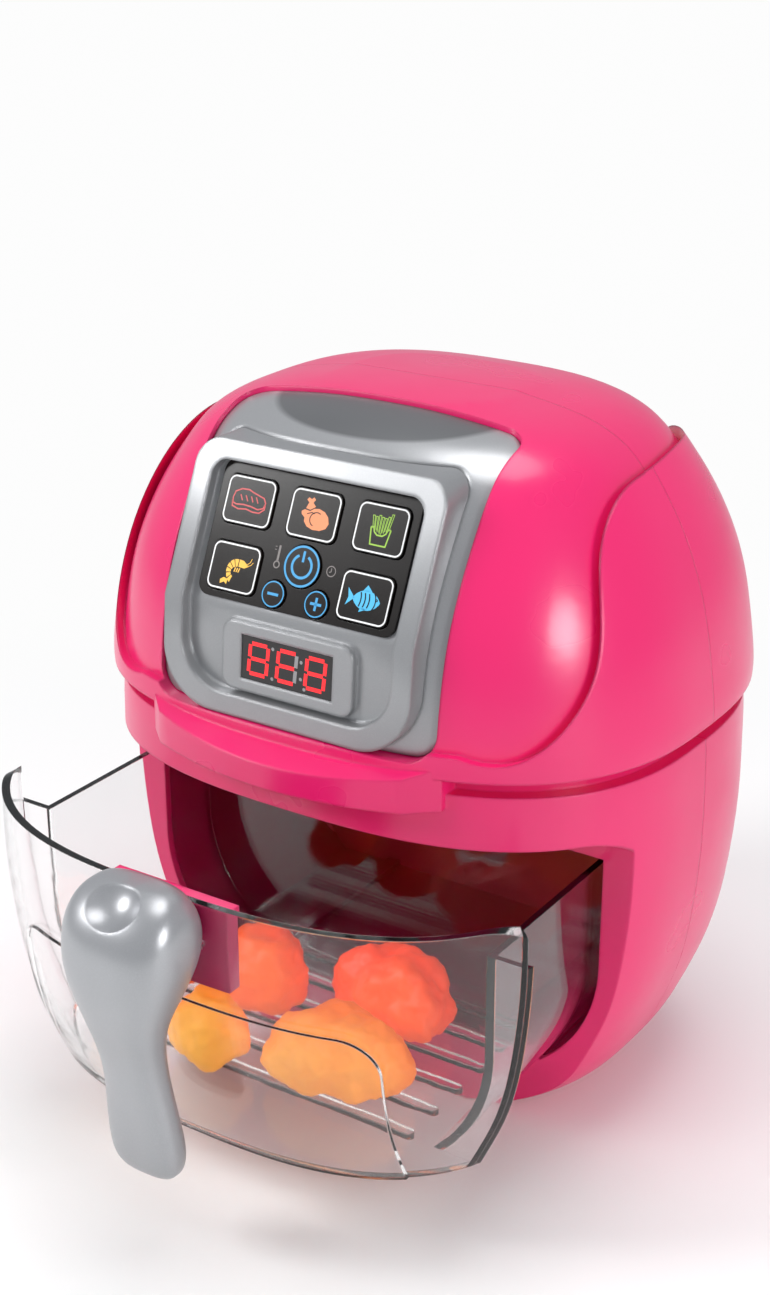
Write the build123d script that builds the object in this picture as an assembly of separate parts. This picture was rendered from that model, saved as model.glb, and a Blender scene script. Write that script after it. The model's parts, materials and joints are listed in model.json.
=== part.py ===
from build123d import *
import os
from math import cos, sin, pi, copysign, radians, hypot

# Toy air fryer with a pull-out clear drawer, in millimetres.
# +Z is up, -Y is the front, and the origin is the centre of the flat base.
# The drawer is drawn pulled out, as a child leaves it with the food on show.

os.makedirs("parts", exist_ok=True)

# Egg-shaped body
half_width = 75.9
half_depth = 62.5
dome_extra_depth = 1.5
dome_overhang = 1.5
squareness = 2.7
ring_points = 32
form_rings = 11
waist_height = 101.0
groove_height = 4.5
groove_depth = 3.2
dome_height = 73.5
wall = 2.0
bowl_curve = ((0.0, 0.55), (0.04, 0.66), (0.09, 0.745), (0.155, 0.825), (0.257, 0.892),
              (0.386, 0.953), (0.54, 0.99), (0.713, 1.008), (0.866, 1.008), (1.0, 1.0))
dome_curve = ((0.0, 1.0, 1.0), (0.13, 0.992, 0.995), (0.265, 0.973, 0.977), (0.4, 0.945, 0.945),
              (0.54, 0.9, 0.888), (0.67, 0.84, 0.816), (0.795, 0.76, 0.74), (0.88, 0.685, 0.672),
              (0.93, 0.60, 0.60), (0.97, 0.47, 0.48), (1.0, 0.30, 0.31))

# Sunken band over the front and top, between the two side cheeks
band_depth = 2.2
band_half_bottom = 44.0
band_half_low = 59.0
band_half_wide = 65.5
band_half_top = 58.5
band_bottom_height = 111.0
band_wide_height = 124.0
band_top_height = 165.0
band_half_rear = 38.0
band_rear_y = 47.0

# Chin under the control panel
chin_half_front = 34.0
chin_half_side = 42.0
chin_front_y = -72.5
chin_corner_y = -66.0
chin_side_y = -60.0
chin_low = 97.5
chin_high = 108.0
chin_lip_height = 103.5

# Drawer bay in the front of the bowl
rim_y = -29.0
slab_top = 88.0
slab_half_width = 73.6
slab_corner = 8.0
bay_half_width = 65.25
bay_top = 79.0
bay_back_y = 36.0
liner_wall = 1.2
bay_clearance = 1.75
slide_clearance = 0.3
rail_width = 4.0
rail_x = 34.0

# Drawer
drawer_out = 45.15
plate_wall = 1.8
plate_bottom = 21.5
plate_gap = 0.5
tub_wall = 1.6
tub_top = 76.3
tub_back_y = 33.0
tub_bend_height = 50.0
tub_floor_half = 50.0
tub_bend_inset = 3.1
glue_gap = 0.05
emboss_half_width = 50.3
emboss_top = 62.5
emboss_corner = 9.0
emboss_height = 0.7
rib_half_length = 43.0
rib_width = 2.4
rib_height = 1.5
rib_pitch = 10.4
rib_first_y = -31.1
rib_count = 6

# Handle
handle_stations = ((21.0, 6.0, 2.4, -70.6), (23.0, 8.2, 3.6, -70.8), (28.0, 9.3, 4.5, -71.2),
                   (36.0, 8.9, 4.6, -72.2), (46.0, 8.0, 4.5, -73.6), (55.0, 8.2, 4.9, -75.2),
                   (63.0, 9.8, 6.4, -76.2), (70.0, 12.3, 9.2, -75.3), (77.0, 14.2, 11.5, -73.8),
                   (84.0, 14.6, 11.4, -72.8), (89.5, 13.2, 8.8, -72.2), (92.5, 10.6, 5.6, -71.4),
                   (93.8, 6.6, 2.6, -71.0))
handle_squareness = 2.8
scoop_radius = 9.5
scoop_y = -82.5
scoop_height = 96.8
bracket_half_width = 16.5
bracket_low = 67.0
bracket_depth = 3.6
handle_cover_half = 5.4
handle_cover_low = 28.0
handle_cover_high = 60.0
handle_cover_y = -71.6
handle_screw_x = 9.0
handle_screw_height = 77.0
handle_screw_radius = 1.1
handle_screw_length = 12.0
handle_screw_head = 2.2
handle_screw_head_height = 1.6
shell_clearance = 0.45

# Control panel
panel_tilt = 24.6
panel_centre_y = -52.25
panel_centre_height = 147.85
panel_bend_drop = 16.0
low_tilt = 5.0
bezel_half_width = 34.0
bezel_top_height = 168.6
bezel_bottom_height = 108.9
bezel_top_corner = 6.0
bezel_low_corner = 14.0
bezel_rim = 5.0
bezel_top_rim = 4.2
bezel_proud = 3.2
skirt_wall = 1.6
skirt_depth = 9.0
tray_wall = 2.0
opening_half_width = 38.5
opening_low = 108.6
opening_back_y = -20.5
opening_corner = 6.0
plate_sink = 3.4
seam = 0.15
seat_width = 2.5
seat_thickness = 1.4

# Keypad
overlay_half_width = 27.0
overlay_low = -14.5
overlay_high = 17.5
overlay_corner = 3.0
overlay_thickness = 0.8
key_width = 13.5
key_height = 11.2
key_corner = 1.8
key_columns = 18.0
key_row_high = 8.4
key_row_low = -7.1
key_gap = 0.3
key_proud = 0.5
key_flange = 0.4
key_flange_thickness = 0.8
key_travel = 0.8
power_radius = 4.8
power_drop = 3.4
level_radius = 3.1
level_spread = 5.9
level_drop = 10.9
switch_side = 3.6
switch_plunger = 1.0
switch_body_height = 2.0
board_half_width = 26.0
board_thickness = 1.2
post_radius = 1.3
plunger_room = 1.2
board_front = tray_wall + 2 * key_gap + key_flange_thickness + key_travel + switch_body_height + plunger_room

# Display
display_height = 123.0
display_half_width = 12.6
display_half_height = 5.2
hump_half_width = 18.0
hump_half_height = 8.2
hump_corner = 3.0
hump_rise = 1.8
window_thickness = 1.0
module_depth = 6.0

# Lamp over the food
lamp_y = -50.0
lamp_radius = 3.6
lamp_drop = 3.0
lamp_flange = 1.4
lamp_flange_thickness = 0.9
lamp_board_height = 94.0
lamp_board_half_x = 10.5
lamp_board_half_y = 5.5
lamp_post_x = 8.2
lamp_post_radius = 1.4
diode_radius = 1.5

# Battery case in the back
cell_radius = 7.25
cell_length = 50.0
cell_pitch = 15.2
cell_count = 3
case_wall = 1.5
case_low = 44.5
case_front_y = 37.9
contact_room = 3.2
door_half_width = 27.0
door_low = 44.0
door_high = 94.0
door_gap = 0.35
door_screw_radius = 1.25
door_screw_drop = 5.0
door_screw_head = 2.4
door_screw_head_height = 1.4
door_screw_reach = 4.6
door_screw_play = 0.4
lug_half_width = 4.0
lug_front_y = 55.2
lug_back_y = 59.6

# Speaker and its grille
speaker_radius = 16.0
speaker_height = 140.0
speaker_front_y = 38.0
speaker_thickness = 7.0
grille_hole_radius = 1.0
grille_pitch = 4.0
grille_rings = 3

# Power switch on the back
power_switch_height = 115.0
switch_knob_length = 4.0
switch_knob_height = 3.4
switch_travel = 3.0
switch_pocket_half = 8.0
switch_pocket_height = 6.0
switch_pocket_depth = 2.0
switch_web = 3.4
switch_web_half = 11.0
switch_play = 0.3
switch_flange = 1.0
switch_flange_thickness = 0.8
switch_can_depth = 5.0
switch_ear_x = 9.2
switch_ear_radius = 1.2

# Screws and base
boss_radius = 3.6
screw_radius = 1.4
screw_head_radius = 2.7
screw_head_height = 2.0
screw_length = 16.0
boss_web = 10.0
boss_high_x = 57.0
boss_high_height = 137.0
boss_low_x = 34.0
boss_low_height = 13.0
base_half_x = 31.9
base_half_y = 20.0
base_lip = 5.0
base_lip_thickness = 1.6
base_gap = 0.15

# Toy food lumps as centre x, y, half length, half width, height and turn
food_lumps = ((17.5, -22.5, 18.8, 12.5, 17.5, 12.0), (15.0, 6.5, 17.5, 12.0, 18.5, -8.0),
              (-19.0, -3.0, 13.0, 11.5, 18.0, 25.0), (-14.0, -30.5, 11.5, 9.0, 15.5, -15.0),
              (-43.0, -6.0, 9.0, 13.0, 16.5, 10.0), (-38.5, -33.0, 10.5, 9.0, 15.0, 20.0))
food_layers = ((0.0, 0.8), (0.3, 1.0), (0.68, 0.86), (1.0, 0.45))


def sign_power(value, power):
    return copysign(abs(value) ** power, value)


def ring_wire(half_x, half_y, height, centre_y=0.0, power=squareness):
    points = []
    for step in range(ring_points):
        turn = 2 * pi * step / ring_points
        x = half_x * sign_power(cos(turn), 2 / power)
        y = centre_y + half_y * sign_power(sin(turn), 2 / power)
        points.append(Vector(x, y, height))
    return Wire([Edge.make_spline(points, periodic=True)])


def stacked_form(rings):
    """Smooth solid through rings given as half width, half depth, height."""
    return Solid.make_loft([ring_wire(*ring) for ring in rings])


def inset_rings(points, inset):
    """Even rings along a curve of half width, half depth, height, moved inwards square to it."""
    spine = Edge.make_spline([Vector(*point) for point in points])
    rings = []
    for step in range(form_rings + 1):
        place = spine @ (step / form_rings)
        way = spine % (step / form_rings)
        run = (way.X + way.Y) / 2
        length = hypot(run, way.Z)
        inward = inset * way.Z / length
        upward = inset * run / length
        rings.append((place.X - inward, place.Y - inward, place.Z + upward))
    return rings


dome_low = waist_height + groove_height
dome_top = dome_low + dome_height
dome_half_width = half_width + dome_overhang
dome_half_depth = half_depth + dome_overhang + dome_extra_depth
bowl_points = [(half_width * share, half_depth * share, waist_height * rise)
               for rise, share in bowl_curve]
dome_points = [(dome_half_width * across, dome_half_depth * deep, dome_low + dome_height * rise)
               for rise, across, deep in dome_curve]
made_forms = {}


def bowl_form(inset=0.0):
    if ("bowl", inset) not in made_forms:
        form = stacked_form(inset_rings(bowl_points, inset))
        if inset > 0:
            form = form & block(-200, 200, -200, 200, 0, waist_height - inset)
        made_forms["bowl", inset] = form
    return made_forms["bowl", inset]


def dome_form(inset=0.0, floored=True):
    if ("dome", inset, floored) not in made_forms:
        form = stacked_form(inset_rings(dome_points, inset))
        if inset > 0 and floored:
            form = form & block(-200, 200, -200, 200, dome_low + inset, dome_top)
        made_forms["dome", inset, floored] = form
    return made_forms["dome", inset, floored]


def block(x_low, x_high, y_low, y_high, z_low, z_high):
    size = (x_high - x_low, y_high - y_low, z_high - z_low)
    return Pos(x_low, y_low, z_low) * Box(*size, align=(Align.MIN, Align.MIN, Align.MIN))


def front_prism(outline, y_low, y_high):
    """Solid from a front-view outline drawn as x, z."""
    plane = Plane(origin=(0, y_high, 0), x_dir=(1, 0, 0), z_dir=(0, -1, 0))
    return extrude(plane * outline, y_high - y_low)


def plan_prism(outline, z_low, z_high):
    return extrude(Plane.XY.offset(z_low) * outline, z_high - z_low)


def rounded_panel(half, low, high, top_corner, low_corner):
    """Front-view rectangle with its own radius at the top and bottom corners."""
    with BuildSketch() as panel:
        with BuildLine():
            Polyline((-half, low), (half, low), (half, high), (-half, high), close=True)
        make_face()
        if top_corner:
            fillet(panel.vertices().group_by(Axis.Y)[-1], top_corner)
        if low_corner:
            fillet(panel.vertices().group_by(Axis.Y)[0], low_corner)
    return panel.sketch


def cylinder_y(radius, y_low, y_high, x, z):
    return Pos(x, y_high, z) * Rot(90, 0, 0) * Cylinder(
        radius, y_high - y_low, align=(Align.CENTER, Align.CENTER, Align.MIN))


def waist_block(inset):
    inner_x = half_width - groove_depth - inset
    inner_y = half_depth - groove_depth - inset
    low = waist_height - 2 * wall - 1.0
    high = dome_low + 2 * wall + band_depth + 1.0
    return stacked_form([(inner_x, inner_y, low), (inner_x, inner_y, (low + high) / 2),
                         (inner_x, inner_y, high)])


def bay_outline(grow):
    """Front view of the tub section, let out by grow all round."""
    half = bay_half_width - bay_clearance + grow
    foot = tub_floor_half + grow * 0.4
    floor = plate_bottom - grow
    middle = (half - tub_bend_inset, (tub_bend_height + floor) / 2)
    return half, foot, floor, middle


def bay_section(grow, top):
    half, foot, floor, middle = bay_outline(grow)
    with BuildSketch() as section:
        with BuildLine():
            Polyline((-foot, floor), (foot, floor))
            ThreePointArc((foot, floor), middle, (half, tub_bend_height))
            Polyline((half, tub_bend_height), (half, top), (-half, top), (-half, tub_bend_height))
            ThreePointArc((-half, tub_bend_height), (-middle[0], middle[1]), (-foot, floor))
        make_face()
    return section.sketch


panel_normal = Vector(0, -cos(radians(panel_tilt)), sin(radians(panel_tilt)))
panel_up = Vector(0, sin(radians(panel_tilt)), cos(radians(panel_tilt)))
panel_origin = Vector(0, panel_centre_y, panel_centre_height)
bend_origin = panel_origin - panel_up * panel_bend_drop
low_normal = Vector(0, -cos(radians(low_tilt)), sin(radians(low_tilt)))
low_up = Vector(0, sin(radians(low_tilt)), cos(radians(low_tilt)))
display_origin = bend_origin - low_up * ((bend_origin.Z - display_height) / cos(radians(low_tilt)))


def panel_plane(lift=0.0):
    return Plane(origin=panel_origin + panel_normal * lift, x_dir=(1, 0, 0), z_dir=panel_normal)


def display_plane(lift=0.0):
    return Plane(origin=display_origin + low_normal * lift, x_dir=(1, 0, 0), z_dir=low_normal)


def behind_face(lift):
    """Everything behind the bent panel face, moved forward by lift."""
    big = 200.0
    upper = extrude(panel_plane(lift) * Rectangle(big, big), -big)
    lower = extrude(display_plane(lift) * Rectangle(big, big), -big)
    return upper & lower


def face_layer(front, back):
    return behind_face(front) - behind_face(back)


def band_cutter():
    with BuildSketch() as front:
        with BuildLine():
            Polyline((0, band_bottom_height), (band_half_bottom, band_bottom_height))
            Spline((band_half_bottom, band_bottom_height), (band_half_low, band_bottom_height + 1.6),
                   (band_half_wide, band_wide_height), (band_half_top + 2.6, 153.0),
                   (band_half_top, band_top_height))
            Polyline((band_half_top, band_top_height), (band_half_top + 12, band_top_height),
                     (band_half_top + 12, dome_top + 10), (0, dome_top + 10),
                     (0, band_bottom_height))
        make_face()
        mirror(about=Plane.YZ)
    reach = dome_half_depth + 10
    with BuildSketch() as plan:
        with BuildLine():
            Polyline((0, -reach), (half_width + 10, -reach), (half_width + 10, -4), (band_half_top, -4))
            Spline((band_half_top, -4), (57.3, 12), (51.0, 31.6), (band_half_rear, band_rear_y),
                   (band_half_rear - 2, reach))
            Polyline((band_half_rear - 2, reach), (0, reach), (0, -reach))
        make_face()
        mirror(about=Plane.YZ)
    return front_prism(front.sketch, -reach, reach) & plan_prism(plan.sketch, 0, dome_top + 20)


def chin():
    with BuildSketch() as plan:
        with BuildLine():
            Spline((-chin_half_front, chin_corner_y), (0, chin_front_y), (chin_half_front, chin_corner_y))
            Polyline((chin_half_front, chin_corner_y), (chin_half_side - 1.5, chin_side_y),
                     (chin_half_side, rim_y), (-chin_half_side, rim_y),
                     (1.5 - chin_half_side, chin_side_y), (-chin_half_front, chin_corner_y))
        make_face()
    lip = plan_prism(plan.sketch, chin_low, chin_high)
    slope = Plane(origin=(0, chin_front_y, chin_lip_height), x_dir=(1, 0, 0),
                  z_dir=(0, -(chin_high - chin_lip_height), chin_side_y - chin_front_y))
    lip -= extrude(slope * Rectangle(4 * chin_half_side, 4 * chin_half_side), chin_high)
    return lip


def opening_form(grow):
    """The control panel's opening: a front outline whose rear corners are rounded from above."""
    outline = rounded_panel(opening_half_width + grow, opening_low - grow, dome_top + 20, 0, opening_corner)
    opening = front_prism(outline, -2 * dome_half_depth, opening_back_y + grow)
    uprights = opening.edges().filter_by(Axis.Z)
    return fillet(uprights.group_by(Axis.Y)[-1], opening_corner)


def slab_cutter(grow):
    outline = rounded_panel(slab_half_width + grow, -10, slab_top + grow, slab_corner + grow, 0)
    return front_prism(outline, -2 * half_depth, rim_y + grow)


def boss_places():
    return [(-boss_high_x, boss_high_height), (boss_high_x, boss_high_height),
            (-boss_low_x, boss_low_height), (boss_low_x, boss_low_height)]


def half_space(front):
    return block(-200, 200, -200, 0, -50, 300) if front else block(-200, 200, 0, 200, -50, 300)


def half_shell(front):
    """One hollow half of the egg, parted at y = 0, before its own holes."""
    half = half_space(front)
    outside = (bowl_form() & half) + (waist_block(0) & half) + (dome_form() & half)
    outside -= (band_cutter() - dome_form(band_depth)) & half
    hollow = (bowl_form(wall) & half) + (waist_block(wall) & half) + (dome_form(band_depth + wall) & half)
    if front:
        outside += chin()
        outside -= slab_cutter(0)
        hollow -= slab_cutter(wall)
    for x, z in boss_places():
        hollow -= cylinder_y(boss_radius, -half_depth, half_depth, x, z)
    return outside - hollow


def cylinder_z(radius, z_low, z_high, x, y):
    return Pos(x, y, z_low) * Cylinder(
        radius, z_high - z_low, align=(Align.CENTER, Align.CENTER, Align.MIN))


def base_ring(grow, z_low, z_high):
    middle = (z_low + z_high) / 2
    return stacked_form([(base_half_x + grow, base_half_y + grow, z) for z in (z_low, middle, z_high)])


def front_shell():
    """Front half with the rim face, chin, panel opening and lamp seat."""
    front = half_shell(True)
    front -= front_prism(bay_section(bay_clearance, bay_top), rim_y - 1, rim_y + wall + 1)
    front -= opening_form(0)
    front -= base_ring(base_gap, -1, 2 * wall)
    front -= cylinder_z(lamp_radius + 0.1, slab_top - 1, slab_top + wall + 1, 0, lamp_y)
    for side in (-1, 1):
        front += cylinder_z(lamp_post_radius, slab_top + wall / 2, lamp_board_height,
                            side * lamp_post_x, lamp_y)
    for x, z in boss_places():
        front -= cylinder_y(screw_radius + 0.05, boss_web - screw_length - 0.5, 1, x, z)
    return front


def switch_face_y():
    """Bottom of the power switch's pocket in the back of the dome."""
    return dome_half_depth - band_depth - switch_pocket_depth + 0.3


def rear_shell():
    """Back half with screw wells, battery opening, speaker grille and power switch pocket."""
    rear = half_shell(False)
    rear -= base_ring(base_gap, -1, 2 * wall)
    for x, z in boss_places():
        rear -= cylinder_y(screw_radius + 0.1, -1, boss_web + 1, x, z)
        rear -= cylinder_y(screw_head_radius + 0.2, boss_web, 2 * half_depth, x, z)
    rear -= block(-door_half_width - door_gap, door_half_width + door_gap, case_front_y, 2 * half_depth,
                  door_low - door_gap, door_high + door_gap)
    skin = dome_form(band_depth + wall / 2)
    rear += (cylinder_y(speaker_radius + wall, speaker_front_y, dome_half_depth, 0, speaker_height)
             - cylinder_y(speaker_radius + 0.2, 0, dome_half_depth, 0, speaker_height)) & skin
    holes = []
    for ring in range(grille_rings + 1):
        for step in range(max(6 * ring, 1)):
            turn = 2 * pi * step / max(6 * ring, 1)
            x = ring * grille_pitch * cos(turn)
            z = speaker_height + ring * grille_pitch * sin(turn)
            holes.append(cylinder_y(grille_hole_radius, speaker_front_y + speaker_thickness,
                                    2 * half_depth, x, z))
    rear = rear - holes
    face = switch_face_y()
    height = power_switch_height
    pocket = switch_pocket_height / 2
    web_low = height - pocket - wall / 2
    web_high = height + pocket + wall
    rear += block(-switch_web_half, switch_web_half, face - switch_web, face + wall, web_low, web_high) & skin
    rear -= block(-switch_pocket_half, switch_pocket_half, face, 2 * half_depth,
                  height - pocket, height + pocket)
    slot_half = (switch_knob_length + switch_travel) / 2 + switch_play
    slot_high = switch_knob_height / 2 + switch_play
    rear -= block(-slot_half, slot_half, face - 2 * switch_web, face + 1, height - slot_high, height + slot_high)
    for side in (-1, 1):
        rear += cylinder_y(switch_ear_radius, face - switch_web - switch_flange_thickness - 2 * switch_play,
                           face - switch_web / 2, side * switch_ear_x, height)
    return rear


def shell_screws():
    screws = []
    for x, z in boss_places():
        screw = cylinder_y(screw_radius, boss_web - screw_length, boss_web, x, z)
        screw += cylinder_y(screw_head_radius, boss_web, boss_web + screw_head_height, x, z)
        screw -= block(x - 2, x + 2, boss_web + screw_head_height - 1, 2 * half_depth, z - 0.4, z + 0.4)
        screws.append(screw)
    return screws


def base_plate():
    plate = base_ring(0, 0, wall)
    return plate + base_ring(base_lip, wall, wall + base_lip_thickness)


def bay_liner():
    """Open-fronted bay that the drawer runs in, with two rails on its floor."""
    outer = front_prism(bay_section(bay_clearance + liner_wall, bay_top + liner_wall),
                        rim_y + wall, bay_back_y + liner_wall)
    inner = front_prism(bay_section(bay_clearance, bay_top), rim_y + wall - 1, bay_back_y)
    liner = (outer & bowl_form(wall + glue_gap)) - inner
    floor = plate_bottom - bay_clearance
    for side in (-1, 1):
        x = side * rail_x
        liner += block(x - rail_width / 2, x + rail_width / 2, rim_y + wall, bay_back_y + liner_wall / 2,
                       floor - liner_wall / 2, plate_bottom - slide_clearance)
    return liner


def panel_plate():
    """Silver surround that fills the panel opening and carries the keypad frame."""
    seat = band_depth + wall + glue_gap
    inner = seat + seat_thickness
    plate = dome_form(plate_sink) & opening_form(-seam)
    plate += dome_form(seat) & opening_form(seat_width)
    plate -= dome_form(inner, floored=False)
    hole = rounded_panel(bezel_half_width, bezel_bottom_height, bezel_top_height,
                         bezel_top_corner, bezel_low_corner)
    return plate - front_prism(hole, -2 * half_depth, 0)


def key_outlines():
    """Name, outline and centre of each key in the plane of the keypad."""
    food_key = RectangleRounded(key_width, key_height, key_corner)
    return (("steak", food_key, -key_columns, key_row_high), ("chicken", food_key, 0, key_row_high),
            ("fries", food_key, key_columns, key_row_high), ("shrimp", food_key, -key_columns, key_row_low),
            ("fish", food_key, key_columns, key_row_low), ("power", Circle(power_radius), 0, -power_drop),
            ("minus", Circle(level_radius), -level_spread, -level_drop),
            ("plus", Circle(level_radius), level_spread, -level_drop))


def key_windows(low, high):
    windows = []
    for name, outline, x, y in key_outlines():
        grown = offset(outline, key_gap)
        windows.append(extrude(panel_plane(low) * Pos(x, y) * grown, high - low))
    return windows


def post_places():
    across = key_columns / 2
    between_rows = (key_row_high + key_row_low) / 2
    return [(-key_columns, between_rows), (key_columns, between_rows), (-across, key_row_high + 3),
            (across, key_row_high + 3)]


def bezel():
    """Thick rounded frame, the tray inside it, and the raised display surround."""
    outer = rounded_panel(bezel_half_width, bezel_bottom_height, bezel_top_height,
                          bezel_top_corner, bezel_low_corner)
    inner = rounded_panel(bezel_half_width - bezel_rim, bezel_bottom_height + bezel_rim,
                          bezel_top_height - bezel_top_rim, bezel_top_corner - 2, bezel_low_corner - bezel_rim / 2)
    reach = 2 * half_depth
    frame = face_layer(bezel_proud, -tray_wall) & front_prism(outer, -reach, 0)
    frame -= face_layer(2 * bezel_proud, 0) & front_prism(inner, -reach, 0)
    hollow = rounded_panel(bezel_half_width - skirt_wall, bezel_bottom_height + skirt_wall,
                           bezel_top_height - skirt_wall, bezel_top_corner - skirt_wall,
                           bezel_low_corner - skirt_wall)
    skirt = face_layer(-tray_wall / 2, -skirt_depth) & front_prism(outer, -reach, 0)
    frame += skirt - front_prism(hollow, -reach, 0)
    hump = RectangleRounded(2 * hump_half_width, 2 * hump_half_height, hump_corner)
    frame += extrude(display_plane(-tray_wall / 2) * hump, hump_rise + tray_wall / 2)
    window = Rectangle(2 * display_half_width + 0.2, 2 * display_half_height + 0.2)
    frame -= extrude(display_plane(-2 * tray_wall) * window, 4 * tray_wall)
    frame = frame - key_windows(-2 * tray_wall, tray_wall)
    for x, y in post_places():
        frame += extrude(panel_plane(-board_front) * Pos(x, y) * Circle(post_radius), board_front - tray_wall / 2)
    for side in (-1, 1):
        post = Pos(side * (display_half_width + 2 * post_radius), 0) * Circle(post_radius)
        frame += extrude(display_plane(-module_depth) * post, module_depth - tray_wall / 2)
    return frame


def keypad_overlay():
    centre = (overlay_low + overlay_high) / 2
    sheet = RectangleRounded(2 * overlay_half_width, overlay_high - overlay_low, overlay_corner)
    overlay = extrude(panel_plane() * Pos(0, centre) * sheet, overlay_thickness)
    return overlay - key_windows(-1, 2 * overlay_thickness)


def keys():
    """Each cap stands in its window, with a flange behind that keeps it from falling out."""
    made = {}
    back = tray_wall + key_gap
    for name, outline, x, y in key_outlines():
        cap = extrude(panel_plane(-back) * Pos(x, y) * outline, back + overlay_thickness + key_proud)
        flange = offset(outline, key_gap + key_flange)
        cap += extrude(panel_plane(-back - key_flange_thickness) * Pos(x, y) * flange, key_flange_thickness)
        made["key_" + name] = cap
    return made


def key_switches():
    switches = []
    plunger_top = tray_wall + 2 * key_gap + key_flange_thickness + key_travel
    for name, outline, x, y in key_outlines():
        body = extrude(panel_plane(-board_front) * Pos(x, y) * Rectangle(switch_side, switch_side),
                       switch_body_height)
        body += extrude(panel_plane(-board_front) * Pos(x, y) * Circle(switch_plunger),
                        board_front - plunger_top)
        switches.append(body)
    return switches


def keypad_board():
    centre = (overlay_low + overlay_high) / 2
    outline = Rectangle(2 * board_half_width, overlay_high - overlay_low)
    return extrude(panel_plane(-board_front) * Pos(0, centre) * outline, -board_thickness)


def display_parts():
    window = Rectangle(2 * display_half_width, 2 * display_half_height)
    top = hump_rise - key_gap
    glass = extrude(display_plane(top - window_thickness) * window, window_thickness)
    module = extrude(display_plane(-module_depth) * Rectangle(2 * display_half_width - 0.4,
                                                             2 * display_half_height - 0.4),
                     module_depth + top - window_thickness)
    board = Rectangle(2 * display_half_width + 8 * post_radius, 2 * display_half_height + 2)
    module_board = extrude(display_plane(-module_depth) * board, -board_thickness)
    return {"display_window": glass, "display_module": module, "display_board": module_board}


def lamp_parts():
    """Clear red lens in the overhang above the drawer, its light-emitting diode and board."""
    seat = slab_top + wall
    lens = cylinder_z(lamp_radius, slab_top - lamp_drop + lamp_radius / 2, seat, 0, lamp_y)
    lens += Pos(0, lamp_y, slab_top - lamp_drop + lamp_radius) * Sphere(lamp_radius) & block(
        -lamp_radius, lamp_radius, lamp_y - lamp_radius, lamp_y + lamp_radius, 0, seat)
    lens += cylinder_z(lamp_radius + lamp_flange, seat, seat + lamp_flange_thickness, 0, lamp_y)
    lens -= cylinder_z(lamp_radius - 1.2, slab_top - lamp_drop + lamp_radius, seat + wall, 0, lamp_y)
    tip = slab_top - lamp_drop + lamp_radius + diode_radius + slide_clearance
    diode = cylinder_z(diode_radius, tip, lamp_board_height, 0, lamp_y)
    diode += Pos(0, lamp_y, tip) * Sphere(diode_radius)
    board = block(-lamp_board_half_x, lamp_board_half_x, lamp_y - lamp_board_half_y,
                  lamp_y + lamp_board_half_y, lamp_board_height, lamp_board_height + board_thickness)
    return {"lamp_lens": lens, "lamp_diode": diode, "lamp_board": board}


def cell_places():
    first = case_low + case_wall + cell_pitch / 2
    return [first + cell_pitch * row for row in range(cell_count)]


def battery_parts():
    """Tray for three cells behind the door, the cells and their end contacts."""
    half = cell_length / 2 + contact_room
    inside_high = case_low + case_wall + cell_pitch * cell_count
    case = block(-half - case_wall, half + case_wall, case_front_y, half_depth,
                 case_low, inside_high + case_wall) & bowl_form(wall + glue_gap)
    case -= block(-half, half, case_front_y + case_wall, 2 * half_depth, case_low + case_wall, inside_high)
    screw_height = door_high - door_screw_drop
    lug = block(-lug_half_width, lug_half_width, lug_front_y, lug_back_y,
                screw_height - lug_half_width / 2 - 1, inside_high + case_wall / 2)
    lug -= cylinder_y(door_screw_radius + door_screw_play, lug_front_y - 1, lug_back_y + 1, 0, screw_height)
    case += lug
    y = case_front_y + case_wall + cell_radius + 0.2
    cells = []
    contacts = []
    for z in cell_places():
        cell = Pos(-0.5, y, z) * Rot(0, 90, 0) * Cylinder(cell_radius, cell_length - 2)
        cell += Pos(cell_length / 2 - 1, y, z) * Rot(0, 90, 0) * Cylinder(2.7, 2)
        cells.append(cell)
        for side in (-1, 1):
            outer = side * half
            inner = side * (half - 0.4)
            contact = block(min(outer, inner), max(outer, inner), y - 4, y + 4, z - 4, z + 4)
            length = contact_room - 0.45
            cone = Pos(side * (half - 0.4 - length / 2), y, z) * Rot(0, -90 * side, 0) * Cone(4, 2.5, length)
            contacts.append(contact + cone)
    return {"battery_case": case, "battery_cells": cells, "battery_contacts": contacts}


def battery_door():
    cut = block(-door_half_width, door_half_width, case_front_y, 2 * half_depth, door_low, door_high)
    door = (bowl_form() - bowl_form(wall)) & cut
    height = door_high - door_screw_drop
    face = half_depth - door_screw_head_height + 0.2
    door -= cylinder_y(door_screw_head + 0.1, face, 2 * half_depth, 0, height)
    door -= cylinder_y(door_screw_radius + 0.1, case_front_y, 2 * half_depth, 0, height)
    screw = cylinder_y(door_screw_radius, face - door_screw_reach + door_screw_head_height, face, 0, height)
    screw += cylinder_y(door_screw_head, face, face + door_screw_head_height - 0.3, 0, height)
    screw -= block(-2, 2, face + 0.5, 2 * half_depth, height - 0.4, height + 0.4)
    return {"battery_door": door, "battery_door_screw": screw}


def speaker_parts():
    back = speaker_front_y + speaker_thickness
    cup = cylinder_y(speaker_radius, speaker_front_y + 3, back, 0, speaker_height)
    cup += cylinder_y(speaker_radius / 2, speaker_front_y - 2, speaker_front_y + 3, 0, speaker_height)
    return cup


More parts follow.
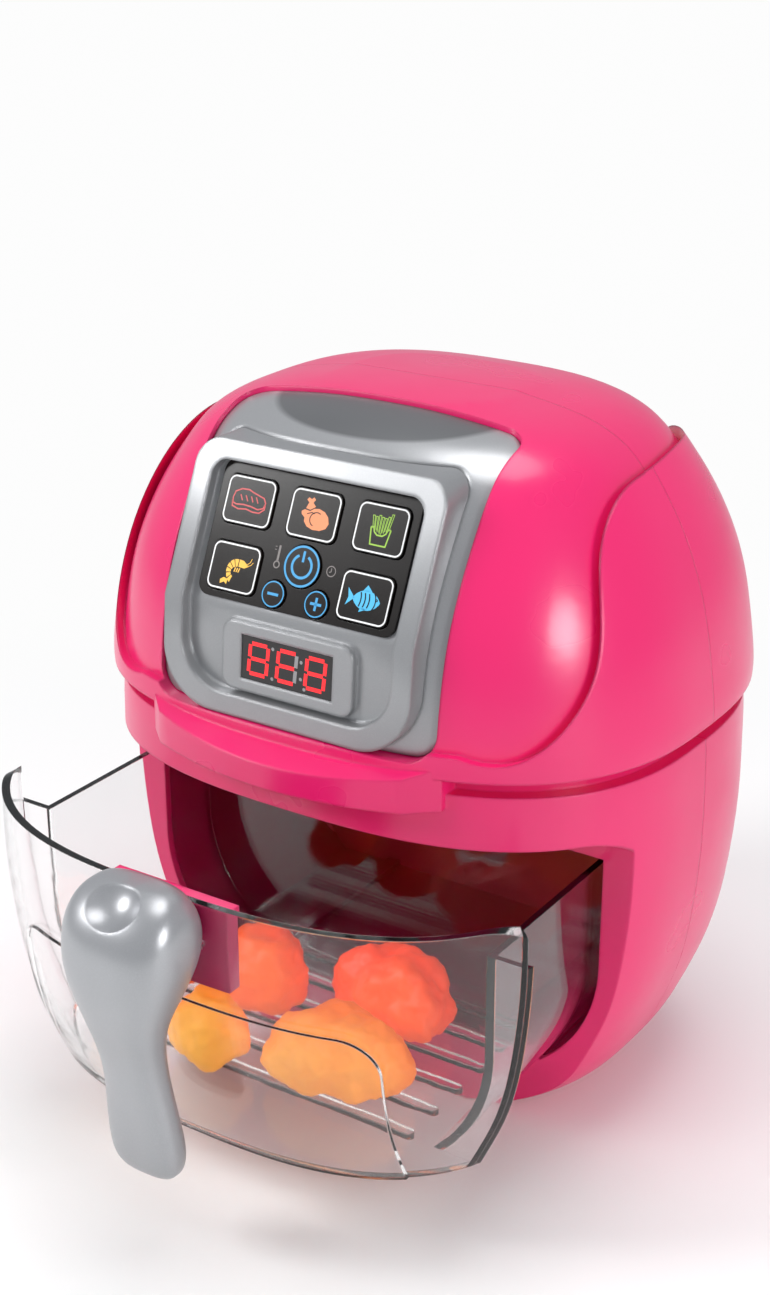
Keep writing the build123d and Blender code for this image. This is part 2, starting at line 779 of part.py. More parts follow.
def switch_parts():
    face = switch_face_y()
    height = power_switch_height
    x = -switch_travel / 2
    inner = face - switch_web - switch_play
    knob = block(x - switch_knob_length / 2, x + switch_knob_length / 2, inner - 0.2, face + switch_pocket_depth - 0.2,
                 height - switch_knob_height / 2, height + switch_knob_height / 2)
    flange_low = inner - switch_flange_thickness
    knob += block(x - switch_knob_length / 2 - switch_flange, x + switch_knob_length / 2 + switch_flange,
                  flange_low, inner, height - switch_knob_height / 2 - switch_flange,
                  height + switch_knob_height / 2 + switch_flange)
    can_back = flange_low - switch_play
    can = block(-switch_ear_x + 2, switch_ear_x - 2, can_back - switch_can_depth, can_back,
                height - switch_knob_height, height + switch_knob_height)
    can += block(-switch_ear_x - 1.5, switch_ear_x + 1.5, can_back - 0.8, can_back,
                 height - switch_knob_height, height + switch_knob_height)
    return {"power_switch_knob": knob, "power_switch_can": can}


def plate_outline(top):
    half = slab_half_width - plate_gap
    corner = slab_corner - plate_gap if top > tub_top else 0
    return rounded_panel(half, plate_bottom, top, corner, 0)


def drawer_front():
    """Curved clear front that carries the egg shape on, with its raised lower panel."""
    flange_front = rim_y - slide_clearance - tub_wall
    reach = -2 * half_depth
    inner = bowl_form(plate_wall)
    plate = (bowl_form() - inner) & front_prism(plate_outline(slab_top - plate_gap), reach, flange_front)
    panel = rounded_panel(emboss_half_width, plate_bottom, emboss_top, emboss_corner, 0)
    plate += (bowl_form(-emboss_height) - bowl_form(plate_wall / 2)) & front_prism(panel, reach, flange_front)
    for side in (-1, 1):
        plate -= cylinder_y(handle_screw_radius + 0.1, reach, rim_y, side * handle_screw_x, handle_screw_height)
    return plate


def drawer_tub():
    """Clear tub with a flange that meets the rim, a floor that runs to the front, and ribs."""
    rear_face = rim_y - slide_clearance
    flange_front = rear_face - tub_wall
    inner_section = bay_section(-tub_wall, bay_top)
    tub = front_prism(bay_section(0, tub_top), rear_face - tub_wall / 2, tub_back_y)
    inside = bowl_form(plate_wall + glue_gap)
    flange = front_prism(plate_outline(tub_top), flange_front, rear_face) & bowl_form(glue_gap)
    tub += flange
    tub -= front_prism(inner_section, -2 * half_depth, tub_back_y - tub_wall)
    tub += inside & block(-2 * half_width, 2 * half_width, -2 * half_depth, rear_face,
                          plate_bottom, plate_bottom + tub_wall)
    floor = plate_bottom + tub_wall
    for row in range(rib_count):
        rib = Pos(0, rib_first_y + rib_pitch * row) * SlotCenterToCenter(2 * rib_half_length, rib_width)
        tub += extrude(Plane.XY.offset(floor - tub_wall / 2) * rib, rib_height + tub_wall / 2)
    return tub


def handle_form():
    rings = [ring_wire(across, deep, height, centre_y, handle_squareness)
             for height, across, deep, centre_y in handle_stations]
    handle = Solid.make_loft(rings)
    top = slab_top - plate_gap
    handle -= bowl_form() & block(-200, 200, -200, 0, 0, top)
    handle -= bowl_form(-shell_clearance) & block(-200, 200, -200, 0, top, waist_height)
    handle -= Pos(0, scoop_y, scoop_height) * Sphere(scoop_radius)
    return handle


def handle_parts():
    """Grip with a cover on its back, clamped through the clear front to an inner bracket."""
    bracket_back = plate_wall + bracket_depth - half_depth
    grip = handle_form()
    cover_box = block(-handle_cover_half, handle_cover_half, handle_cover_y, -half_depth,
                      handle_cover_low, handle_cover_high)
    cover = grip & cover_box
    grip -= cover_box
    bracket = bowl_form(plate_wall + glue_gap) & block(
        -bracket_half_width, bracket_half_width, -2 * half_depth, bracket_back,
        bracket_low, slab_top - 3 * plate_gap)
    screws = []
    tip = bracket_back - handle_screw_length
    for side in (-1, 1):
        x = side * handle_screw_x
        shank = cylinder_y(handle_screw_radius, tip, bracket_back, x, handle_screw_height)
        head = cylinder_y(handle_screw_head, bracket_back, bracket_back + handle_screw_head_height,
                          x, handle_screw_height)
        screws.append(shank + head)
        hole = cylinder_y(handle_screw_radius + 0.05, tip - 0.5, bracket_back + 1, x, handle_screw_height)
        grip -= hole
        bracket -= hole
    return {"handle_grip": grip, "handle_cover": cover, "handle_bracket": bracket, "handle_screws": screws}


def food_lump(x, y, half_long, half_wide, height, turn, number):
    """Battered lump of toy food, flat where it lies on the ribs."""
    base = plate_bottom + tub_wall + rib_height + glue_gap
    wires = []
    for rise, share in food_layers:
        points = []
        for step in range(12):
            angle = 2 * pi * step / 12
            swell = share * (1 + 0.08 * cos(3 * angle + number) + 0.05 * cos(5 * angle - 2 * number))
            across = half_long * swell * cos(angle)
            along = half_wide * swell * sin(angle)
            points.append(Vector(across, along, rise * height))
        wires.append(Wire([Edge.make_spline(points, periodic=True)]))
    return Pos(x, y, base) * Rot(0, 0, turn) * Solid.make_loft(wires)


nodes = {"front_shell": front_shell(), "rear_shell": rear_shell(), "shell_screws": shell_screws(),
         "base_plate": base_plate(), "bay_liner": bay_liner(), "panel_plate": panel_plate(),
         "keypad_frame": bezel(), "keypad_overlay": keypad_overlay(), "key_switches": key_switches(),
         "keypad_board": keypad_board(), "speaker": speaker_parts()}
nodes.update(keys())
nodes.update(display_parts())
nodes.update(lamp_parts())
nodes.update(battery_parts())
nodes.update(battery_door())
nodes.update(switch_parts())

drawer = {"drawer_front": drawer_front(), "drawer_tub": drawer_tub()}
drawer.update(handle_parts())
for number, lump in enumerate(food_lumps, start=1):
    drawer["food_lump_" + str(number)] = food_lump(*lump, number)
for name, shape in drawer.items():
    pieces = shape if isinstance(shape, list) else [shape]
    nodes[name] = [Pos(0, -drawer_out, 0) * piece for piece in pieces]

for name, shape in nodes.items():
    pieces = shape if isinstance(shape, list) else [shape]
    solids = [solid for piece in pieces for solid in piece.solids()]
    export_step(solids[0] if len(solids) == 1 else Compound(solids), "parts/" + name + ".step")
    print(name, len(solids), round(sum(solid.volume for solid in solids)))
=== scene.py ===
import json
import math
import random

import bmesh
import bpy
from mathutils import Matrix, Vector


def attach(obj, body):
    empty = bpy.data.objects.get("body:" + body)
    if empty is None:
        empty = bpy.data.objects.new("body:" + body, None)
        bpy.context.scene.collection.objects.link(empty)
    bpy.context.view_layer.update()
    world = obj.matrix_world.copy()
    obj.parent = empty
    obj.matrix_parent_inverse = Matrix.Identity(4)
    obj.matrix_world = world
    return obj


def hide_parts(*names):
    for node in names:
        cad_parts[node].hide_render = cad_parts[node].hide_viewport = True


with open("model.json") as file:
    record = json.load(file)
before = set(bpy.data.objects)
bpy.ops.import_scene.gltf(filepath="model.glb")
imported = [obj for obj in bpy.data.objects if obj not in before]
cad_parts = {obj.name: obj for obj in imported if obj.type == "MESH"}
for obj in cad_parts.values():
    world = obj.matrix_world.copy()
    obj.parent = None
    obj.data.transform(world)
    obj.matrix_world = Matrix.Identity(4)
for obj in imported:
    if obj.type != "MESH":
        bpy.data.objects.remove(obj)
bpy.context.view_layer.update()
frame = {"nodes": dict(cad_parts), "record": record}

# Studio
# A white sweep of paper under a large soft light, as for a catalogue picture.
# The camera looks down over the toy's right front corner.
scene = bpy.context.scene
scene.view_settings.view_transform = "Standard"

camera_azimuth = math.radians(33.44)
camera_elevation = math.radians(22.27)
camera_data = bpy.data.cameras.new("camera")
camera_data.sensor_fit = "VERTICAL"
camera_data.sensor_height = 36
camera_data.lens = 56.27
camera_data.clip_start = 0.01
camera = bpy.data.objects.new("camera", camera_data)
camera.location = (0.250, -0.39965, 0.300)
camera.rotation_euler = (math.pi / 2 - camera_elevation, 0, camera_azimuth)
scene.collection.objects.link(camera)
scene.camera = camera


def soft_light(name, place, target, size, power, tint=(1, 1, 1)):
    data = bpy.data.lights.new(name, "AREA")
    data.shape = "DISK"
    data.size = size
    data.energy = power
    data.color = tint
    lamp = bpy.data.objects.new(name, data)
    lamp.location = place
    aim = Vector(target) - Vector(place)
    lamp.rotation_euler = aim.to_track_quat("-Z", "Y").to_euler()
    scene.collection.objects.link(lamp)


soft_light("window_left", (-0.60, -0.60, 0.62), (0, -0.05, 0.09), 0.34, 5.4)
soft_light("window_right", (0.80, -0.28, 0.34), (0, 0, 0.09), 0.30, 3.0)
soft_light("ceiling", (0.05, 0.05, 0.95), (0, 0, 0.1), 0.60, 3.8)

world = bpy.data.worlds.new("white_room")
world.use_nodes = True
scene.world = world
room = world.node_tree.nodes
room_links = world.node_tree.links
room.clear()
seen = room.new("ShaderNodeLightPath")
glow = room.new("ShaderNodeBackground")
glow.inputs["Color"].default_value = (0.92, 0.95, 1.0, 1)
glow.inputs["Strength"].default_value = 0.50
paper_white = room.new("ShaderNodeBackground")
paper_white.inputs["Color"].default_value = (0.98, 0.98, 0.98, 1)
paper_white.inputs["Strength"].default_value = 1.0
choose = room.new("ShaderNodeMixShader")
room_out = room.new("ShaderNodeOutputWorld")
room_links.new(seen.outputs["Is Camera Ray"], choose.inputs["Fac"])
room_links.new(glow.outputs[0], choose.inputs[1])
room_links.new(paper_white.outputs[0], choose.inputs[2])
room_links.new(choose.outputs[0], room_out.inputs["Surface"])

floor_half = 3
floor_drop = 0.0002
floor_corners = [(-floor_half, -floor_half, 0), (floor_half, -floor_half, 0),
                 (floor_half, floor_half, 0), (-floor_half, floor_half, 0)]
floor_mesh = bpy.data.meshes.new("floor")
floor_mesh.from_pydata(floor_corners, [], [(0, 1, 2, 3)])
floor = bpy.data.objects.new("floor", floor_mesh)
scene.collection.objects.link(floor)
floor.location.z = -floor_drop


def tint(red, green, blue):
    """Screen colour of 0 to 255 as the linear colour that a shader takes."""
    parts = []
    for value in (red, green, blue):
        share = value / 255
        parts.append(share / 12.92 if share <= 0.04045 else ((share + 0.055) / 1.055) ** 2.4)
    return (*parts, 1)


def blank_material(name):
    material = bpy.data.materials.new(name)
    material.use_nodes = True
    material.node_tree.nodes.clear()
    nodes = material.node_tree.nodes
    shader = nodes.new("ShaderNodeBsdfPrincipled")
    out = nodes.new("ShaderNodeOutputMaterial")
    material.node_tree.links.new(shader.outputs[0], out.inputs["Surface"])
    return material, nodes, material.node_tree.links, shader


paper, paper_nodes, paper_links, paper_shader = blank_material("paper")
paper_shader.inputs["Base Color"].default_value = (0.90, 0.90, 0.89, 1)
paper_shader.inputs["Roughness"].default_value = 0.6
paper_seen = paper_nodes.new("ShaderNodeLightPath")
paper_glow = paper_nodes.new("ShaderNodeEmission")
paper_glow.inputs["Color"].default_value = (0.98, 0.98, 0.98, 1)
paper_where = paper_nodes.new("ShaderNodeTexCoord")
paper_far = paper_nodes.new("ShaderNodeVectorMath")
paper_far.operation = "LENGTH"
paper_fade = paper_nodes.new("ShaderNodeMapRange")
paper_fade.interpolation_type = "SMOOTHSTEP"
paper_fade.inputs["From Min"].default_value = 0.10
paper_fade.inputs["From Max"].default_value = 0.34
paper_both = paper_nodes.new("ShaderNodeMath")
paper_both.operation = "MULTIPLY"
paper_mix = paper_nodes.new("ShaderNodeMixShader")
paper_out = paper_nodes["Material Output"]
paper_links.new(paper_where.outputs["Object"], paper_far.inputs[0])
paper_links.new(paper_far.outputs["Value"], paper_fade.inputs["Value"])
paper_links.new(paper_fade.outputs["Result"], paper_both.inputs[0])
paper_links.new(paper_seen.outputs["Is Camera Ray"], paper_both.inputs[1])
paper_links.new(paper_both.outputs[0], paper_mix.inputs["Fac"])
paper_links.new(paper_shader.outputs[0], paper_mix.inputs[1])
paper_links.new(paper_glow.outputs[0], paper_mix.inputs[2])
paper_links.new(paper_mix.outputs[0], paper_out.inputs["Surface"])
floor_mesh.materials.append(paper)

# Moulded shells
# Two halves of a hollow egg in pink gloss plastic, parted over the top and joined by
# four screws from the back, with a base plate and a battery door in the same plastic.


def skin_group():
    """Grain, uneven gloss and slightly softened edges of a plastic moulding."""
    group = bpy.data.node_groups.new("moulded_skin", "ShaderNodeTree")
    for name, low in (("Grain Scale", 900.0), ("Grain Depth", 0.00001), ("Edge Radius", 0.0005),
                      ("Gloss Low", 0.25), ("Gloss High", 0.35)):
        socket = group.interface.new_socket(name, in_out="INPUT", socket_type="NodeSocketFloat")
        socket.default_value = low
    group.interface.new_socket("Roughness", in_out="OUTPUT", socket_type="NodeSocketFloat")
    group.interface.new_socket("Mottle", in_out="OUTPUT", socket_type="NodeSocketFloat")
    group.interface.new_socket("Normal", in_out="OUTPUT", socket_type="NodeSocketVector")
    nodes, links = group.nodes, group.links
    given = nodes.new("NodeGroupInput")
    result = nodes.new("NodeGroupOutput")
    place = nodes.new("ShaderNodeTexCoord")
    grain = nodes.new("ShaderNodeTexNoise")
    grain.inputs["Detail"].default_value = 2
    cloud = nodes.new("ShaderNodeTexNoise")
    cloud.inputs["Scale"].default_value = 28
    cloud.inputs["Detail"].default_value = 3
    edge = nodes.new("ShaderNodeBevel")
    edge.samples = 4
    bump = nodes.new("ShaderNodeBump")
    bump.inputs["Strength"].default_value = 0.35
    spread = nodes.new("ShaderNodeMapRange")
    spread.inputs["From Min"].default_value = 0.35
    spread.inputs["From Max"].default_value = 0.65
    links.new(place.outputs["Object"], grain.inputs["Vector"])
    links.new(place.outputs["Object"], cloud.inputs["Vector"])
    links.new(given.outputs["Grain Scale"], grain.inputs["Scale"])
    links.new(given.outputs["Grain Depth"], bump.inputs["Distance"])
    links.new(given.outputs["Edge Radius"], edge.inputs["Radius"])
    links.new(grain.outputs["Fac"], bump.inputs["Height"])
    links.new(edge.outputs["Normal"], bump.inputs["Normal"])
    links.new(cloud.outputs["Fac"], spread.inputs["Value"])
    links.new(given.outputs["Gloss Low"], spread.inputs["To Min"])
    links.new(given.outputs["Gloss High"], spread.inputs["To Max"])
    links.new(spread.outputs["Result"], result.inputs["Roughness"])
    links.new(cloud.outputs["Fac"], result.inputs["Mottle"])
    links.new(bump.outputs["Normal"], result.inputs["Normal"])
    return group


moulded_skin = skin_group()


def surface_of(material):
    return material.node_tree.nodes["Principled BSDF"]


def moulded_material(name, colour, shade, gloss, grain=(900.0, 0.00001), edge=0.0005):
    """Plastic with its own two close colours, gloss range, grain scale and depth, and edge radius."""
    material, nodes, links, shader = blank_material(name)
    skin = nodes.new("ShaderNodeGroup")
    skin.node_tree = moulded_skin
    skin.inputs["Grain Scale"].default_value = grain[0]
    skin.inputs["Grain Depth"].default_value = grain[1]
    skin.inputs["Edge Radius"].default_value = edge
    skin.inputs["Gloss Low"].default_value = gloss[0]
    skin.inputs["Gloss High"].default_value = gloss[1]
    blend = nodes.new("ShaderNodeMix")
    blend.data_type = "RGBA"
    blend.inputs["A"].default_value = colour
    blend.inputs["B"].default_value = shade
    links.new(skin.outputs["Mottle"], blend.inputs["Factor"])
    links.new(blend.outputs["Result"], shader.inputs["Base Color"])
    links.new(skin.outputs["Roughness"], shader.inputs["Roughness"])
    links.new(skin.outputs["Normal"], shader.inputs["Normal"])
    return material


body_of_node = {}
for body_name, members in frame["record"]["behaviour"]["bodies"].items():
    for member in members:
        body_of_node[member] = body_name


def merged_copy(node):
    """The node's own surface with its loose triangles joined, ready to be shaded smoothly."""
    mesh = frame["nodes"][node].data.copy()
    mesh.name = node + "_skin"
    work = bmesh.new()
    work.from_mesh(mesh)
    bmesh.ops.remove_doubles(work, verts=work.verts, dist=0.000004)
    for face in work.faces:
        face.smooth = True
    for edge in work.edges:
        edge.smooth = edge.calc_face_angle(0) < math.radians(24)
    work.to_mesh(mesh)
    work.free()
    mesh.materials.clear()
    return mesh


def dress(node, material):
    """A smooth-shaded piece over one node, in its own finish."""
    piece = bpy.data.objects.new(node + "_skin", merged_copy(node))
    scene.collection.objects.link(piece)
    piece.data.materials.append(material)
    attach(piece, body_of_node[node])
    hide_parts(node)
    return piece


pink = moulded_material(
    "pink_moulding", tint(228, 28, 106), tint(220, 23, 99), (0.27, 0.34), edge=0.0009)
pink_shader = surface_of(pink)
pink_shader.inputs["Coat Weight"].default_value = 0.25
pink_shader.inputs["Coat Roughness"].default_value = 0.18
pink_shader.inputs["Subsurface Weight"].default_value = 0.04
pink_shader.inputs["Subsurface Radius"].default_value = (0.004, 0.001, 0.002)
for shell_node in ("front_shell", "rear_shell", "base_plate", "battery_door", "handle_bracket"):
    dress(shell_node, pink)

# Screws
# Zinc-plated self-tapping screws hold the halves, the handle and the battery door.
# Turned rings round the head catch the light.
zinc = moulded_material("zinc_screw", tint(176, 178, 182), tint(150, 152, 158), (0.28, 0.42),
                        grain=(2600.0, 0.00002), edge=0.0002)
surface_of(zinc).inputs["Metallic"].default_value = 1.0
for screw_node in ("shell_screws", "handle_screws", "battery_door_screw"):
    dress(screw_node, zinc)

# Drawer bay
# A dark magenta liner behind the front opening, moulded thin and glossy, with two rails
# on its floor that carry the tub.
magenta = moulded_material(
    "bay_moulding", tint(176, 18, 74), tint(150, 12, 60), (0.12, 0.2), edge=0.0004)
dress("bay_liner", magenta)

# Silver panel
# The surround and the thick keypad frame are plastic sprayed with satin silver paint.
# Painted shade darkens the shallow recessed area of the surround above the frame.


def colour_source(shader):
    return shader.inputs["Base Color"].links[0].from_socket


def silver_paint(name, colour, shade, low, high):
    """Satin paint over plastic, with fine metal flake."""
    material = moulded_material(name, tint(*colour), tint(*shade), (low, high),
                                grain=(3200.0, 0.000012), edge=0.0012)
    nodes, links = material.node_tree.nodes, material.node_tree.links
    shader = surface_of(material)
    shader.inputs["Metallic"].default_value = 0.55
    flake = nodes.new("ShaderNodeTexVoronoi")
    flake.inputs["Scale"].default_value = 5200
    place = nodes.new("ShaderNodeTexCoord")
    sparkle = nodes.new("ShaderNodeMapRange")
    sparkle.inputs["To Min"].default_value = 0.92
    sparkle.inputs["To Max"].default_value = 1.06
    base = colour_source(shader)
    lift = nodes.new("ShaderNodeMix")
    lift.data_type = "RGBA"
    lift.blend_type = "MULTIPLY"
    lift.inputs["Factor"].default_value = 1.0
    links.new(place.outputs["Object"], flake.inputs["Vector"])
    links.new(flake.outputs["Distance"], sparkle.inputs["Value"])
    links.new(base, lift.inputs["A"])
    links.new(sparkle.outputs["Result"], lift.inputs["B"])
    links.new(lift.outputs["Result"], shader.inputs["Base Color"])
    return material


silver = silver_paint("silver_paint", (160, 161, 163), (148, 149, 151), 0.32, 0.40)
surround = silver_paint("surround_paint_and_shade", (172, 173, 175), (160, 161, 163), 0.28, 0.38)

# Painted shade: above a bowed line over the frame, the surround's colour is mixed to a darker grey to stand
# in for shade on the shallow recess.
shade_edge_height = 0.1712
shade_edge_softness = 0.0003
shade_edge_bow = 2.6
surround_nodes, surround_links = surround.node_tree.nodes, surround.node_tree.links
surround_shader = surface_of(surround)
where = surround_nodes.new("ShaderNodeTexCoord")
axes = surround_nodes.new("ShaderNodeSeparateXYZ")
across = surround_nodes.new("ShaderNodeMath")
across.operation = "MULTIPLY"
curved = surround_nodes.new("ShaderNodeMath")
curved.operation = "MULTIPLY_ADD"
curved.inputs[1].default_value = -shade_edge_bow
step_up = surround_nodes.new("ShaderNodeMapRange")
step_up.inputs["From Min"].default_value = shade_edge_height - shade_edge_softness
step_up.inputs["From Max"].default_value = shade_edge_height + shade_edge_softness
painted_shade_mix = surround_nodes.new("ShaderNodeMix")
painted_shade_mix.data_type = "RGBA"
painted_shade_mix.inputs["B"].default_value = tint(112, 113, 115)
surround_links.new(where.outputs["Object"], axes.inputs[0])
surround_links.new(axes.outputs["X"], across.inputs[0])
surround_links.new(axes.outputs["X"], across.inputs[1])
surround_links.new(across.outputs[0], curved.inputs[0])
surround_links.new(axes.outputs["Z"], curved.inputs[2])
surround_links.new(curved.outputs[0], step_up.inputs["Value"])
surround_links.new(step_up.outputs["Result"], painted_shade_mix.inputs["Factor"])
surround_links.new(colour_source(surround_shader), painted_shade_mix.inputs["A"])
surround_links.new(painted_shade_mix.outputs["Result"], surround_shader.inputs["Base Color"])
dress("panel_plate", surround)
dress("keypad_frame", silver)

# Keypad
# A black printed film with eight caps that press, each with a coloured picture of its
# food or a plain sign, and a small thermometer and clock printed between them.
film = moulded_material(
    "black_film", tint(20, 14, 12), tint(14, 10, 8), (0.20, 0.27), edge=0.0002)
surface_of(film).inputs["Specular IOR Level"].default_value = 0.25
dress("keypad_overlay", film)
cap_black = moulded_material(
    "black_caps", tint(20, 14, 12), tint(14, 10, 8), (0.20, 0.28), edge=0.0003)

surface_of(cap_black).inputs["Specular IOR Level"].default_value = 0.25

panel_tilt = math.radians(24.6)
panel_middle = Vector((0, -52.25, 147.85))
panel_up = Vector((0, math.sin(panel_tilt), math.cos(panel_tilt)))
panel_out = Vector((0, -math.cos(panel_tilt), math.sin(panel_tilt)))
cap_top = 1.3
film_top = 0.8
print_rise = 0.03


def on_keypad(u, v, lift):
    return (panel_middle + Vector((u, 0, 0)) + panel_up * v + panel_out * lift) * 0.001


def ink(name, colour, shine=0.0):
    """Screen-print ink, or a lit segment where it has a shine."""
    material = moulded_material(name, tint(*colour), tint(*[int(part * 0.94) for part in colour]),
                                (0.32, 0.42), edge=0.0001)
    if shine:
        shader = surface_of(material)
        shader.inputs["Emission Color"].default_value = tint(*colour)
        shader.inputs["Emission Strength"].default_value = shine
    return material


def stroke(points, width, closed=False):
    """Flat line of even width through points, as quads in u, v."""
    count = len(points)
    left, right = [], []
    for place in range(count):
        before = points[(place - 1) % count] if closed or place else points[0]
        after = points[(place + 1) % count] if closed or place < count - 1 else points[-1]
        here = points[place]
        a = Vector((here[0] - before[0], here[1] - before[1]))
        b = Vector((after[0] - here[0], after[1] - here[1]))
        a = a.normalized() if a.length > 1e-9 else b.normalized()
        b = b.normalized() if b.length > 1e-9 else a
        along = (a + b).normalized() if (a + b).length > 1e-6 else a
        side = Vector((-along.y, along.x))
        reach = width / 2 / max(side.dot(Vector((-a.y, a.x))), 0.4)
        left.append((here[0] + side.x * reach, here[1] + side.y * reach))
        right.append((here[0] - side.x * reach, here[1] - side.y * reach))
    verts = left + right
    faces = []
    for place in range(count if closed else count - 1):
        nxt = (place + 1) % count
        faces.append((place, place + count, nxt + count, nxt))
    return verts, faces


def patch(points):
    """Filled outline."""
    return list(points), [tuple(range(len(points)))]


def arc(cx, cy, rx, ry, start, end, steps=24):
    return [(cx + rx * math.cos(math.radians(start + (end - start) * k / steps)),
             cy + ry * math.sin(math.radians(start + (end - start) * k / steps))) for k in range(steps + 1)]


def ring_line(cx, cy, radius, width, steps=40):
    return stroke(arc(cx, cy, radius, radius, 0, 360, steps)[:-1], width, closed=True)


def round_box(half_x, half_y, radius, width):
    points = []
    for cx, cy, start in ((half_x - radius, half_y - radius, 0), (radius - half_x, half_y - radius, 90),
                          (radius - half_x, radius - half_y, 180), (half_x - radius, radius - half_y, 270)):
        points += arc(cx, cy, radius, radius, start, start + 90, 6)
    return stroke(points, width, closed=True)


def printed(name, marks, centre, lift, surface, material, body):
    """Join flat marks into one thin print that lies on a surface."""
    mesh = bpy.data.meshes.new(name)
    work = bmesh.new()
    for verts, faces in marks:
        made = [work.verts.new(surface(centre[0] + u, centre[1] + v, lift)) for u, v in verts]
        for face in faces:
            work.faces.new([made[k] for k in face])
    bmesh.ops.triangulate(work, faces=[f for f in work.faces if len(f.verts) > 4])
    out = surface(0, 0, 1) - surface(0, 0, 0)
    for face in work.faces:
        face.normal_update()
        if face.normal.dot(out) < 0:
            face.normal_flip()
    work.to_mesh(mesh)
    work.free()
    piece = bpy.data.objects.new(name, mesh)
    scene.collection.objects.link(piece)
    mesh.materials.append(material)
    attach(piece, body)
    return piece


white_ink = ink("white_ink", (245, 245, 245))
red_ink = ink("red_ink", (205, 52, 56))
orange_ink = ink("orange_ink", (241, 140, 84))
green_ink = ink("green_ink", (150, 196, 48))
yellow_ink = ink("yellow_ink", (250, 190, 44))
blue_ink = ink("blue_ink", (38, 156, 214))
sky_ink = ink("sky_ink", (58, 184, 232))
grey_ink = ink("grey_ink", (120, 112, 110))

outline_width = 0.32
steak_top = [(-4.6, 0.2), (-4.2, 1.7), (-2.6, 2.5), (-0.6, 2.6), (0.8, 2.1), (2.3, 1.7), (3.9, 1.3),
             (4.6, 0.2), (4.2, -1.0), (2.8, -1.5), (0.6, -1.1), (-1.4, -1.0), (-3.4, -1.2), (-4.4, -0.9)]
steak_side = [(-4.6, -0.3), (-4.4, -1.7), (-2.6, -2.2), (-0.4, -1.9), (1.6, -2.3), (3.4, -2.2),
              (4.6, -1.2), (4.6, -0.2)]
steak_marks = [stroke(steak_top, outline_width, closed=True), stroke(steak_side, outline_width)]
for start in (-2.7, -1.2, 0.3, 1.7):
    steak_marks.append(stroke([(start, 1.2), (start + 0.8, -0.1)], 0.30))

bird = [(-3.4, 0.4), (-2.6, 0.9), (-1.2, 0.7), (-0.2, 1.4), (1.2, 1.6), (2.8, 1.1), (3.9, 0.1), (4.4, -1.3),
        (3.9, -2.5), (2.4, -3.2), (0.4, -3.3), (-1.2, -2.8), (-2.2, -1.8), (-2.3, -0.9), (-3.2, -0.3)]
leg_bone = [(-2.4, 1.2), (-1.9, 2.6), (-2.6, 3.1), (-2.2, 3.7), (-1.4, 3.4), (-0.9, 3.9), (-0.3, 3.4),
            (-0.8, 2.7), (0.1, 1.9), (-0.3, 1.6), (-1.2, 1.0)]
chicken_marks = [patch(bird), patch(leg_bone)]
chicken_lines = [stroke(arc(0.9, -0.9, 1.7, 1.6, 60, 250, 14), 0.22),
                 stroke([(-1.8, 0.0), (-0.6, 0.5), (0.2, 0.3)], 0.2)]

carton_width = 0.34
carton_side = [(-2.6, 0.2), (-2.0, -3.6), (2.0, -3.6), (2.6, 0.2)]
carton_mouth = [(-2.6, 0.2), (-1.9, 0.3), (-1.5, -0.8), (-0.7, -1.4), (0.7, -1.4), (1.5, -0.8), (1.9, 0.3),
                (2.6, 0.2)]
fries_marks = [stroke(carton_side, carton_width), stroke(carton_mouth, carton_width)]
fry_gap = 0.63
fry_lean = 0.17
middle_fry = 3
random.seed(4)
for stick in range(2 * middle_fry + 1):
    low_u = -1.9 + stick * fry_gap
    lean = (stick - middle_fry) * fry_lean
    top_v = 3.2 + random.uniform(-0.7, 0.6)
    low_v = -1.1 + abs(stick - middle_fry) * 0.35
    fry = [(low_u - 0.2, low_v), (low_u - 0.25 + lean, top_v), (low_u + 0.25 + lean, top_v),
           (low_u + 0.2, low_v)]
    fries_marks.append(stroke(fry, 0.17))

shell_turn = 26
shell_sweep = 21
shrimp_marks = []
for link in range(6):
    start = 88 + link * shell_turn
    outer = arc(0.9, -0.9, 3.1 - link * 0.1, 3.0, start, start + shell_sweep, 4)
    inner = arc(0.9, -0.9, 1.35 + link * 0.05, 1.25, start + shell_sweep, start, 4)
    shrimp_marks.append(patch(outer + inner))
shrimp_head = [(1.2, 2.1), (2.4, 2.0), (4.0, 0.9), (2.9, 0.3), (1.2, 0.4)]
shrimp_tail = [(-2.1, -2.6), (-0.9, -2.9), (-1.1, -4.1), (-1.8, -3.6), (-2.9, -4.2), (-3.0, -3.2)]
feeler_width = 0.16
shrimp_marks += [patch(shrimp_head), stroke([(3.4, 1.2), (4.2, 1.9), (4.5, 2.8)], feeler_width),
                 stroke([(3.6, 0.9), (4.5, 1.3), (5.0, 2.0)], feeler_width), patch(shrimp_tail)]
for leg in range(3):
    shrimp_marks.append(stroke([(0.5 + leg * 0.6, 0.1), (0.3 + leg * 0.55, -0.9)], 0.3))

fish_back = arc(0.5, -2.3, 4.1, 4.1, 152, 28, 14)
fish_belly = arc(0.5, 1.5, 4.1, 4.1, -28, -152, 14)[1:-1]
fish_marks = [patch(fish_back + fish_belly), patch([(-2.6, -0.3), (-4.7, 1.7), (-4.2, -0.4), (-4.7, -2.3)]),
              patch([(-0.8, 1.6), (0.2, 3.0), (1.6, 1.7)]), patch([(-0.6, -2.2), (-0.9, -3.2), (1.2, -2.3)])]
fish_lines = [stroke(arc(stripe - 1.4, -0.4, 1.5, 2.6, -38, 38, 8), 0.30) for stripe in (-1.0, 0.1, 1.2)]
fish_lines += [stroke(arc(1.3, -0.4, 1.6, 2.4, -50, 50, 8), 0.26), ring_line(3.1, 0.1, 0.22, 0.2, 12)]

